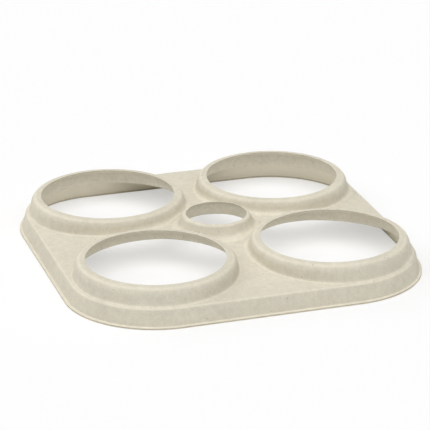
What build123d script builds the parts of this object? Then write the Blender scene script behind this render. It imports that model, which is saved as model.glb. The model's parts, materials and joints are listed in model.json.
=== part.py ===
from build123d import *
from math import cos, radians, sqrt, tan
import os

# All sizes in mm; the ring stands on its foot flange at z = 0, centred on its finger hole

# The drinks cans that the ring carries: their pitch, and the necks that its holes slip over
can_body_d = 66.0
can_gap = 2.5
neck_step = 6.75
can_pitch = can_body_d + can_gap
can_hole_r = can_body_d / 2 - neck_step

# Moulded sheet: one thickness all over, drafted so that it leaves the die
sheet = 0.8
skirt_draft = 14.0
can_draft = 9.0
finger_draft = 20.0

# Heights of the outer face: the deck above the foot, and the collars' rims above the deck
deck_height = 8.1
can_collar_rise = 5.9
finger_collar_rise = 6.4
can_rim_height = deck_height + can_collar_rise
finger_rim_height = deck_height + finger_collar_rise

# Flat lips round the holes, flat lands between neighbouring forms, and the foot flange
can_lip = 1.2
finger_lip = 0.5
collar_land = 1.55
edge_land = 0.1
flange_width = 0.65

# Roundings of the outer face; the inner face is one sheet further in
can_shoulder_r = 3.0
finger_shoulder_r = 2.0
collar_foot_r = 0.8
deck_edge_r = 1.0
flange_crease_r = 0.4
cut_edge_r = 0.25

# How far a drafted wall spreads over its height, and how far a rounding reaches from its sharp corner
def spread(height, draft):
    return height * tan(radians(draft))


def reach(radius, draft):
    return radius * tan(radians((90 - draft) / 2))


# Each can collar spreads from its hole to its top corner and down to its foot
can_top_r = can_hole_r + can_lip + reach(can_shoulder_r, can_draft)
can_foot_r = can_top_r + spread(can_collar_rise, can_draft)
can_places = GridLocations(can_pitch, can_pitch, 2, 2)

# The finger collar takes what the can collars leave in the middle, one land away from each
finger_foot_r = can_pitch / sqrt(2) - can_foot_r - collar_land
finger_top_r = finger_foot_r - spread(finger_collar_rise, finger_draft)
finger_hole_r = finger_top_r - reach(finger_shoulder_r, finger_draft) - finger_lip

# The deck ends just outside the collars' feet, its corners concentric with the cans
corner_r = can_foot_r + reach(collar_foot_r, can_draft) + edge_land + reach(deck_edge_r, skirt_draft)
foot_corner_r = corner_r + spread(deck_height, skirt_draft)


def rounded_square(radius):
    return RectangleRounded(can_pitch + 2 * radius, can_pitch + 2 * radius, radius)


def collar(top_r, shoulder_r, rim, draft, skin):
    # A drafted, round-shouldered plug under the outer or the inner face of a collar
    height = rim - skin
    inset = skin / cos(radians(draft)) - spread(skin, draft)
    plug = Cone(top_r - inset + spread(height, draft), top_r - inset, height,
                align=(Align.CENTER, Align.CENTER, Align.MIN))
    return fillet(plug.edges().group_by(Axis.Z)[-1], shoulder_r - skin)


def deck_of(body, level):
    return body.faces().filter_by(Axis.Z).filter_by_position(Axis.Z, level - sheet / 2, level + sheet / 2)[0]


def form(skin):
    # The solid under the sheet's outer face, or under its inner face when skin is the sheet
    level = deck_height - skin
    body = extrude(rounded_square(foot_corner_r - skin / cos(radians(skirt_draft))), level, taper=skirt_draft)
    body += [place * collar(can_top_r, can_shoulder_r, can_rim_height, can_draft, skin) for place in can_places]
    body += collar(finger_top_r, finger_shoulder_r, finger_rim_height, finger_draft, skin)
    body = fillet([edge for wire in deck_of(body, level).inner_wires() for edge in wire.edges()], collar_foot_r + skin)
    return fillet(deck_of(body, level).outer_wire().edges(), deck_edge_r - skin) if deck_edge_r > skin else body


# The skirt turns out at its foot into the flange, rounded outside and, one sheet further, inside
flange = extrude(rounded_square(foot_corner_r + flange_width), sheet)
ring = form(0) + flange
crease = ring.faces().filter_by(Axis.Z).filter_by_position(Axis.Z, sheet / 2, sheet * 1.5)[0].inner_wires()[0]
ring = fillet(crease.edges(), flange_crease_r) - form(sheet)
mouth = ring.faces().sort_by(Axis.Z)[0].inner_wires()[0]
ring = fillet(mouth.edges(), flange_crease_r + sheet)

# The holes are cut through the collars after moulding
ring -= [place * Cylinder(can_hole_r, 3 * can_rim_height) for place in can_places]
ring -= Cylinder(finger_hole_r, 3 * finger_rim_height)
rims = [face for face in ring.faces().filter_by(Axis.Z) if face.center().Z > deck_height + sheet]
tops = [face for face in rims if face.normal_at().Z > 0]
ring = fillet([edge for face in tops for edge in face.inner_wires()[0].edges()], cut_edge_r)

os.makedirs("parts", exist_ok=True)
ring.label = "carrier_ring"
export_step(ring, "parts/carrier_ring.step")
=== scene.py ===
import json
import math

import bpy
import numpy as np
from mathutils import Matrix, Vector, geometry, noise


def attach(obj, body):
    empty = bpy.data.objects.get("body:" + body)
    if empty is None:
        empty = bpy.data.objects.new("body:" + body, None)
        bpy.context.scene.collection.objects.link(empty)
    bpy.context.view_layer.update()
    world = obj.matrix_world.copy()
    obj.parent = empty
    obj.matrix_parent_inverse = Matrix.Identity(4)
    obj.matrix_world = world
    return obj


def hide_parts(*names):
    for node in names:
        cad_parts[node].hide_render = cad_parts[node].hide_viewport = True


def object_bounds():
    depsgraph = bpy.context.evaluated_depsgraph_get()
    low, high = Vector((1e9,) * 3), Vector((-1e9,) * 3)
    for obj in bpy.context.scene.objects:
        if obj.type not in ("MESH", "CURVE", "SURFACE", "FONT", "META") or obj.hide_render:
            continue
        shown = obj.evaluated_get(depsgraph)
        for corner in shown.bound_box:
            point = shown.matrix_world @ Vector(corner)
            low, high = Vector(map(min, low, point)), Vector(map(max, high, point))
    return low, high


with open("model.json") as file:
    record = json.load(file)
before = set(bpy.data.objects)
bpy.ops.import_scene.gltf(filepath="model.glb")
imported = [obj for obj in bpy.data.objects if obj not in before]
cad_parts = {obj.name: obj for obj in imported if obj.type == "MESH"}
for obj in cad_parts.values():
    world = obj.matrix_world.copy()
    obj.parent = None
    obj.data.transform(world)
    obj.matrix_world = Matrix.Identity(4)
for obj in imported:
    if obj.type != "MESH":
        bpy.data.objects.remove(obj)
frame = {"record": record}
cad_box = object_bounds()

# The carrier ring is one sheet of cane pulp, sucked onto a wire screen, pressed between hot dies and
# then die-cut. Its face is the smooth die's, and its inside keeps the weave of the screen.
# It stands loose on its foot flange and is the only piece, so all sizes here are in mm from its middle.
mounts = {mount["name"]: mount for mount in frame["record"]["mounts"]}
can_offset = mounts["can_seat_back_right"]["pos_m"][0] * 1000
can_hole_r = mounts["can_seat_back_right"]["dims"]["r_mm"]
finger_hole_r = mounts["finger_hole"]["dims"]["r_mm"]
finger_rim = cad_box[1].z * 1000
can_rim = finger_rim - 0.5
flange_end = cad_box[1].x * 1000 - can_offset
skirt_foot = flange_end - 0.65
sheet = 0.8

# The deck is slightly crowned: this high in the middle, and this much lower at its reach along either axis
deck_middle, deck_drop, deck_reach = 9.0, 1.7, 66.0

# Walls lean so that the sheet leaves the die, and where the pulp packs thicker the inside leans otherwise
can_draft = math.radians(9)
finger_face_draft, finger_inside_draft = math.radians(27), math.radians(13)
skirt_face_draft, skirt_inside_draft = math.radians(14), math.radians(20)

# A collar has a narrow flat lip, which rolls over and then turns down into the wall near its top radius
can_top, finger_top = can_hole_r + 3.75, finger_hole_r + 1.3
lip_flat, lip_roll_r = 0.3, 7.5
can_turn, finger_turn = 1.6, 1.1

# Roundings, the feet of the collars first on the face and then inside
can_foot_soft, finger_foot_soft = 1.0, 1.0
can_inside_soft, finger_inside_soft = 0.7, 0.5
deck_edge_soft, flange_crease_soft, cut_edge_soft = 0.95, 0.4, 0.15

# Feet are softer by these amounts near the middle and along the right side, and sharp low down in the skirt
soft_by_radius = (26, 46), (1.5, 0)
soft_by_x = (54, 62), (0, 1.6)
share_by_height = (5.54, 7.5), (0.02, 1)


def collars(finger_draft, can_soft, finger_soft):
    # Middle, hole, top radius, rim, turn, draft and foot of the four can collars, then of the finger collar
    cans = [(x, y, can_hole_r, can_top, can_rim, can_turn, can_draft, can_soft)
            for x in (-can_offset, can_offset) for y in (-can_offset, can_offset)]
    return cans + [(0, 0, finger_hole_r, finger_top, finger_rim, finger_turn, finger_draft, finger_soft)]


def fill_corner(a, b, r):
    # Two forms joined, with a rounded inside corner
    return np.maximum(r, np.minimum(a, b)) - np.hypot(np.maximum(r - a, 0), np.maximum(r - b, 0))


def round_corner(a, b, r):
    # Two forms crossed, with a rounded outside corner
    return np.minimum(-r, np.maximum(a, b)) + np.hypot(np.maximum(r + a, 0), np.maximum(r + b, 0))


def above_die(x, y, z, pressed_collars, skirt_draft, flange_top):
    # How far a point lies above the pressed sheet: a crowned deck, its skirt, the collars and the flange
    deck = z - deck_middle + deck_drop * np.sqrt(x**4 + y**4) / deck_reach**2
    out = np.hypot(np.maximum(np.abs(x) - can_offset, 0), np.maximum(np.abs(y) - can_offset, 0))
    skirt = (out - skirt_foot + z * math.tan(skirt_draft)) * math.cos(skirt_draft)
    face = round_corner(deck, skirt, deck_edge_soft)
    softer = 1 + np.interp(np.hypot(x, y), *soft_by_radius) + np.interp(x, *soft_by_x)
    softer *= np.interp(z, *share_by_height)
    for cx, cy, hole_r, top_r, rim, turn_r, draft, soft in pressed_collars:
        r = np.hypot(x - cx, y - cy)
        wall = (r - top_r - (rim - z) * math.tan(draft)) * math.cos(draft)
        roll = np.clip(r - hole_r - lip_flat, 0, lip_roll_r) / lip_roll_r
        top = (z - rim + lip_roll_r * roll**2 / 2) / np.hypot(1, roll)
        face = fill_corner(face, round_corner(wall, top, turn_r), soft * softer)
    return fill_corner(face, z - flange_top, flange_crease_soft)


# Loops of points in plan, close together where the face turns: a band of circles round each hole, and a
# band of rounded squares down the skirt
face_collars = collars(finger_face_draft, can_foot_soft, finger_foot_soft)
inside_collars = collars(finger_inside_draft, can_inside_soft, finger_inside_soft)
plan, loops, bands = [], [], []


def steps(*stretches):
    # Radii from a start to an end in so many steps, for one stretch after another
    return np.concatenate([np.linspace(*stretch, endpoint=False) for stretch in stretches])


def add_loop(points):
    loops.append(np.arange(len(points)) + sum(map(len, plan)))
    plan.append(points)


cut_rows = 4
foot_margin, between_feet = 1.1, 0.4
can_reach = can_top + (can_rim - deck_middle) * math.tan(can_draft) + foot_margin
finger_reach = math.sqrt(2) * can_offset - can_reach - between_feet
for cx, cy, hole_r, top_r, *rest in face_collars:
    reach, points = (can_reach, 180) if hole_r == can_hole_r else (finger_reach, 96)
    turns = np.linspace(0, 2 * math.pi, points, endpoint=False)
    cut_end, turn_start, wall_start = hole_r + cut_edge_soft, top_r - 1, top_r + 1.1
    first = len(loops)
    for r in steps((hole_r, cut_end, cut_rows), (cut_end, turn_start, 8),
                   (turn_start, wall_start, 22), (wall_start, reach, 6)):
        add_loop(np.c_[cx + r * np.cos(turns), cy + r * np.sin(turns)])
    bands.append((first, len(loops)))
skirt_start, skirt_low = skirt_foot - 2.6, skirt_foot - 1.3
crease_start, crease_end, flange_turn = skirt_foot - 0.25, skirt_foot + 0.25, flange_end - 0.15
side = np.linspace(-can_offset, can_offset, 40, endpoint=False)
bend = np.linspace(0, math.pi / 2, 54, endpoint=False)
first = len(loops)
skirt_radii = steps((skirt_start, skirt_low, 14), (skirt_low, crease_start, 12),
                    (crease_start, crease_end, 8), (crease_end, flange_turn, 2),
                    (flange_turn, flange_end, 3))
for r in (*skirt_radii, flange_end):
    quarter = np.r_[np.c_[side, np.full(len(side), -can_offset - r)],
                    np.c_[can_offset + r * np.sin(bend), -can_offset - r * np.cos(bend)]]
    turned = [quarter @ np.array([[c, s], [-s, c]]) for c, s in ((1, 0), (0, 1), (-1, 0), (0, -1))]
    add_loop(np.concatenate(turned))
bands.append((first, len(loops)))
quads = [square for first, last in bands for i in range(first, last - 1)
         for square in zip(loops[i], np.roll(loops[i], -1), np.roll(loops[i + 1], -1), loops[i + 1])]


# The open deck between those bands is a grid of points, finer in the middle, joined to them by triangles
def square_grid(reach, spacing):
    line = np.arange(-reach, reach + spacing / 2, spacing)
    return np.stack(np.meshgrid(line, line), -1).reshape(-1, 2)


deck_edge = can_offset + skirt_start
grid_reach, middle_reach, coarse_spacing, fine_spacing = 64.5, 20, 1.5, 0.8
edge_gap, foot_gap = 0.55, 0.7
coarse, fine = square_grid(grid_reach, coarse_spacing), square_grid(middle_reach, fine_spacing)
grid = np.concatenate([coarse[np.abs(coarse).max(1) > middle_reach + fine_spacing / 2], fine])
feet = [(Vector((cx, cy)), np.hypot(*(plan[last - 1][0] - (cx, cy))))
        for (cx, cy, *rest), (first, last) in zip(face_collars, bands)]
clear = np.abs(grid).max(1) < deck_edge - edge_gap
for middle, foot_r in feet:
    clear &= np.hypot(*(grid - middle).T) > foot_r + foot_gap
plan.append(grid[clear])
plan = np.concatenate(plan)
borders = [loops[last - 1] for first, last in bands[:-1]] + [loops[bands[-1][0]]]
deck_points = np.r_[np.concatenate(borders), len(plan) - clear.sum():len(plan)]
place = {int(point): i for i, point in enumerate(deck_points)}
edges = [(place[int(a)], place[int(b)]) for loop in borders for a, b in zip(loop, np.roll(loop, -1))]
found = geometry.delaunay_2d_cdt([Vector(plan[point]) for point in deck_points], edges, [], 1, 1e-6)
triangles = []
for corners in found[2]:
    corners = [deck_points[found[3][corner][0]] for corner in corners]
    middle = Vector(plan[corners].mean(0))
    on_deck = max(abs(middle.x), abs(middle.y)) < deck_edge
    if on_deck and all((middle - foot).length > foot_r for foot, foot_r in feet):
        triangles.append(corners)

x, y = plan.T


def press(*form):
    # Lifts each point of the plan onto the pressed sheet, and finds which way the sheet faces there
    low, high = np.full(len(x), -1.0), np.full(len(x), finger_rim + 2)
    for halving in range(40):
        z = (low + high) / 2
        outside = above_die(x, y, z, *form) > 0
        low, high = np.where(outside, low, z), np.where(outside, z, high)
    points, tiny = np.c_[x, y, z], 0.02
    slopes = [above_die(*(points + step).T, *form) - above_die(*(points - step).T, *form)
              for step in tiny * np.eye(3)]
    return points, np.stack(slopes, -1) / np.linalg.norm(slopes, axis=0)[:, None]


# The face is as the die leaves it, and the inside lies one sheet further in. The punch rounds the face
# a touch at each hole, and breaks out a little wider below.
break_out, break_reach = 0.4, 1.6
face, facing_out = press(face_collars, skirt_face_draft, sheet)
inside, facing_in = press(inside_collars, skirt_inside_draft, 0)
inside -= facing_in * sheet
for (cx, cy, hole_r, *rest), (first, last) in zip(face_collars, bands):
    for loop in loops[first:first + cut_rows]:
        dip = hole_r + cut_edge_soft - np.hypot(x[loop] - cx, y[loop] - cy)
        face[loop, 2] -= cut_edge_soft - np.sqrt(np.maximum(cut_edge_soft**2 - dip**2, 0))
    for loop in loops[first:last]:
        out = plan[loop] - (cx, cy)
        share = np.maximum(1 - (np.linalg.norm(out, axis=1) - hole_r) / break_reach, 0)
        inside[loop, :2] += out / np.linalg.norm(out, axis=1)[:, None] * (break_out * share)[:, None]

# The wet sheet dries a little unevenly, in slow waves and in small lumps, and only ever inwards. It is
# drawn furthest at the finger collar, which is the lumpiest.
unevenness = ((17.0, 0.10), (5.0, 0.07), (2.0, 0.045))
drawn = 1 + 1.6 * np.exp(-((np.hypot(x, y) - finger_hole_r - 2) / 4)**2)
for layer, normal, seed in ((face, facing_out, 3.0), (inside, facing_in, 8.0)):
    for size, depth in unevenness:
        shift = Vector((seed, seed, seed))
        lumps = np.array([noise.noise(Vector(point) / size + shift) for point in layer])
        layer -= normal * (depth * drawn * (0.5 + 0.5 * lumps))[:, None]
inside[:, 2] = np.maximum(inside[:, 2], 0)

# The face and the inside close into one skin along the cut edges of the holes and of the flange
count = len(plan)
facing = [tuple(map(int, corners)) for corners in quads + triangles]
facing = [corners if np.cross(*(face[list(corners[1:3])] - face[corners[0]]))[2] > 0 else corners[::-1]
          for corners in facing]
skin = facing + [tuple(corner + count for corner in corners[::-1]) for corners in facing]
for loop in [loops[first] for first, last in bands[:-1]]:
    skin += [(a, b, b + count, a + count) for a, b in zip(loop.tolist(), np.roll(loop, -1).tolist())]
flange_loop = loops[-1].tolist()
skin += [(a, a + count, b + count, b) for a, b in zip(flange_loop, np.roll(flange_loop, -1).tolist())]
pressing = bpy.data.meshes.new("pressed_ring")
pressing.from_pydata((np.concatenate([face, inside]) * 0.001).tolist(), [], skin)
pressing.shade_smooth()
ring = bpy.data.objects.new("pressed_ring", pressing)
bpy.context.scene.collection.objects.link(ring)
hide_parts("carrier_ring")
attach(ring, "root")


class Wire:
    # A value on its way through a material's nodes, so that shader maths reads as arithmetic
    def __init__(self, tree, socket=None):
        self.tree, self.socket = tree, socket

    def node(self, kind, settings, sockets, result=0):
        made = self.tree.nodes.new(kind)
        for name, value in settings.items():
            setattr(made, name, value)
        for name, value in sockets.items():
            if isinstance(value, Wire):
                self.tree.links.new(value.socket, made.inputs[name])
            else:
                made.inputs[name].default_value = value
        return Wire(self.tree, made.outputs[result])

    def maths(self, operation, *values):
        return self.node("ShaderNodeMath", {"operation": operation}, dict(enumerate(values)))

    def __add__(self, other):
        return self.maths("ADD", self, other)

    def __sub__(self, other):
        return self.maths("SUBTRACT", self, other)

    def __rsub__(self, other):
        return self.maths("SUBTRACT", other, self)

    def __mul__(self, other):
        return self.maths("MULTIPLY", self, other)

    def __abs__(self):
        return self.maths("ABSOLUTE", self)

    __radd__, __rmul__ = __add__, __mul__


bagasse = bpy.data.materials.new("bagasse")
bagasse.use_nodes = True
pulp = Wire(bagasse.node_tree)
metres = pulp.node("ShaderNodeTexCoord", {}, {}, "Object")
spot = pulp.node("ShaderNodeVectorMath", {"operation": "SCALE"}, {0: metres, "Scale": 1000})
across, along, up = (pulp.node("ShaderNodeSeparateXYZ", {}, {0: spot}, axis) for axis in "XYZ")
normal = pulp.node("ShaderNodeNewGeometry", {}, {}, "Normal")
facing_up = pulp.node("ShaderNodeSeparateXYZ", {}, {0: normal}, "Z")


def ease(value, start, end):
    # Goes smoothly from 0 at the start to 1 at the end
    return pulp.node("ShaderNodeMapRange", {"interpolation_type": "SMOOTHSTEP"},
                     {"Value": value, "From Min": start, "From Max": end})


def cloud(size, detail=2.0, stretch=(1, 1, 1), turn=0.0, where=(0, 0, 0)):
    # Random patches between 0 and 1, this many mm wide, drawn out along an axis where it is stretched
    laid = pulp.node("ShaderNodeMapping", {"vector_type": "TEXTURE"},
                     {"Vector": spot, "Location": where, "Rotation": (0, 0, turn),
                      "Scale": tuple(size * longer for longer in stretch)})
    return pulp.node("ShaderNodeTexNoise", {}, {"Vector": laid, "Scale": 1.0, "Detail": detail})


def blend(share, first, second):
    return pulp.node("ShaderNodeMix", {"data_type": "RGBA"}, {0: share, 6: first, 7: second}, 2)


# Pulp clouds, finer flocks and grain, and the drag of the die along steep walls
steep = 1 - ease(abs(facing_up), 0.35, 0.8)
screen_side = ease(facing_up, 0.03, -0.03)
broad = cloud(16)
flocks = cloud(2.2, detail=4)
grain = cloud(0.5, where=(40, 0, 0))
drag = cloud(0.9, stretch=(1, 1, 14), where=(0, 70, 0)) * steep

# Short fibres lie every way in the plane of the sheet, each lay showing as thin broken lines
fibres = 0
for lay, turn in enumerate((0.2, 0.9, 1.7, 2.5)):
    strand = cloud(0.55, detail=1.0, stretch=(9, 1, 2), turn=turn, where=(0, 0, 25 * lay))
    broken = ease(cloud(5, where=(25 * lay, 9, 0)), 0.5, 0.62)
    fibres = fibres + ease(abs(strand - 0.5), 0.025, 0.0) * broken

# Sparse dark specks of cane rind, in some of the cells that a random net of points makes
cells = {"Vector": spot, "Scale": 0.32, "Randomness": 1.0}
rind = pulp.node("ShaderNodeTexVoronoi", {}, cells, "Distance")
chance = pulp.node("ShaderNodeSeparateColor", {}, {0: pulp.node("ShaderNodeTexVoronoi", {}, cells, "Color")})
speck = ease(rind, 0.1, 0.04) * ease(chance, 0.5, 0.8)

# The forming screen's diagonal weave on the inside
screen_pitch = 0.9
turn_per_mm = 2 * math.pi / screen_pitch / math.sqrt(2)
warp = pulp.maths("SINE", (across + along + up) * turn_per_mm)
weft = pulp.maths("SINE", (across - along + up) * turn_per_mm)
weave = warp * weft * screen_side

# The flange's top is made paler, and all cut edges are browned: partly the brown ends of the fibres, partly
# painted shade, such as the dark line of shadow under the flange
flange_top = ease(up, 1.4, 0.9) * ease(facing_up, 0.5, 0.9)
to_can_x, to_can_y = abs(across) - can_offset, abs(along) - can_offset
from_can = pulp.maths("SQRT", to_can_x * to_can_x + to_can_y * to_can_y) - can_hole_r
from_finger = pulp.maths("SQRT", across * across + along * along) - finger_hole_r
at_hole = ease(pulp.maths("MINIMUM", from_can, from_finger), 0.12, 0.04) * ease(up, 12, 12.5)
trimmed = pulp.maths("MAXIMUM", ease(up, sheet + 0.02, sheet - 0.05), at_hole)
# Where the cut edges are browned, for the fibre ends and as painted shade
cut_edge = trimmed * ease(facing_up, 0.6, 0.3) * ease(facing_up, -0.6, -0.3)

# Painted highlight: where the sheet bends part way over from facing up, it is painted paler, as if lit there
painted_bend_highlight = ease(facing_up, 0.985, 0.93) * ease(facing_up, 0.55, 0.8)
# Painted light, standing for the floor's bounce, makes the inside palest low down in the skirt
painted_bounce_low_down = ease(up, 8.5, 5)

pale = (0.855, 0.80, 0.66, 1)
deep = (0.615, 0.575, 0.475, 1)
rind_brown = (0.34, 0.27, 0.17, 1)
mottle = (broad - 0.5) * 0.4 + (flocks - 0.5) * 0.7 + (grain - 0.5) * 0.7 - fibres * 0.08
# Drag streaks on steep walls, painted shade darkening the face's steep walls, the painted highlight on
# bends, and the paler flange top
drag_and_painted_light = drag * 0.22 - steep * (1 - screen_side) * 0.14 + painted_bend_highlight * 0.34 + flange_top * 0.3
# The inside: a touch paler, partly for the screen side's pulp and partly as painted light; the painted
# bounce low down; and the screen's weave
screen_pale_and_painted_bounce = screen_side * (0.1 + painted_bounce_low_down * 0.45) + weave * 0.12
tone = 0.5 + mottle + drag_and_painted_light + screen_pale_and_painted_bounce
colour = blend(cut_edge * 0.5 + speck * 0.75, blend(tone, deep, pale), rind_brown)
height = flocks * 0.05 + grain * 0.04 + fibres * 0.02 + weave * 0.045 + drag * 0.03
relief = pulp.node("ShaderNodeBump", {}, {"Strength": 1.0, "Distance": 0.001, "Height": height})
surface = bagasse.node_tree.nodes["Principled BSDF"]
surface.inputs["Specular IOR Level"].default_value = 0.2
for name, wire in (("Base Color", colour), ("Roughness", 0.84 + flocks * 0.12), ("Normal", relief)):
    bagasse.node_tree.links.new(wire.socket, surface.inputs[name])
pressing.materials.append(bagasse)

# The floor is a sheet of matt white paper, loose under the ring and wide enough to fill the picture.
# Looked at, it glows with a share of its own white, so that it shows white and the ring's shadow pale.
scene = bpy.context.scene
paper_size, paper_white, paper_glow = 6, 0.995, 0.45
bpy.ops.mesh.primitive_plane_add(size=paper_size)
floor = bpy.context.object
floor.name = "paper_floor"
paper = bpy.data.materials.new("white_paper")
paper.use_nodes = True
sweep = Wire(paper.node_tree)
matt = sweep.node("ShaderNodeBsdfDiffuse", {}, {"Color": (paper_white, paper_white, paper_white, 1)})
glow = sweep.node("ShaderNodeEmission", {}, {"Color": (1, 1, 1, 1), "Strength": 1.0})
looked_at = sum(sweep.node("ShaderNodeLightPath", {}, {}, ray)
                for ray in ("Is Camera Ray", "Is Glossy Ray", "Is Transmission Ray"))
paper_face = sweep.node("ShaderNodeMixShader", {}, {0: looked_at * paper_glow, 1: matt, 2: glow})
paper.node_tree.links.new(paper_face.socket, paper.node_tree.nodes["Material Output"].inputs["Surface"])
floor.data.materials.append(paper)

# The studio is a dim white room with six broad soft lamps, hung in a ring round the table and one above it.
# Tilts are from straight above and turns from the front, in degrees.
scene.view_settings.view_transform = "Standard"
room = bpy.data.worlds.new("white_room")
room.use_nodes = True
room.node_tree.nodes["Background"].inputs["Color"].default_value = (1, 1, 1, 1)
room.node_tree.nodes["Background"].inputs["Strength"].default_value = 0.1
scene.world = room
lamp_breadth = math.radians(50)
for name, tilt, turn, strength in (("overhead", 0, 0, 0.97), ("front", 42, -17, 0.42),
                                   ("right", 42, 43, 0.74), ("left", 42, -77, 0.72),
                                   ("far_left", 65, -137, 0.6), ("behind", 65, 163, 0.35)):
    lamp = bpy.data.objects.new(name, bpy.data.lights.new(name, "SUN"))
    lamp.data.energy = strength
    lamp.data.angle = lamp_breadth
    lamp.rotation_euler = (math.radians(tilt), 0, math.radians(turn))
    scene.collection.objects.link(lamp)

# The camera looks down on the front left corner from nearly a metre away, turned a touch on its own axis,
# with a lens that gives this many of the picture's 430 pixels to each mm at the point it aims for.
turn, tilt, roll = math.radians(-17.42), math.radians(21.65), math.radians(-0.3)
distance, pixels_per_mm, picture = 930.0, 2.54, 430
aim = Vector((3.56, 12.92, 8.09))
back = Vector((math.sin(turn) * math.cos(tilt), -math.cos(turn) * math.cos(tilt), math.sin(tilt)))
right = Matrix.Rotation(roll, 3, back) @ Vector((math.cos(turn), math.sin(turn), 0))
camera = bpy.data.objects.new("camera", bpy.data.cameras.new("camera"))
camera.data.lens = pixels_per_mm * distance / picture * camera.data.sensor_width
camera.data.clip_end = 50
camera.matrix_world = Matrix((right, back.cross(right), back)).transposed().to_4x4()
camera.location = (aim + back * distance) * 0.001
scene.collection.objects.link(camera)
scene.camera = camera
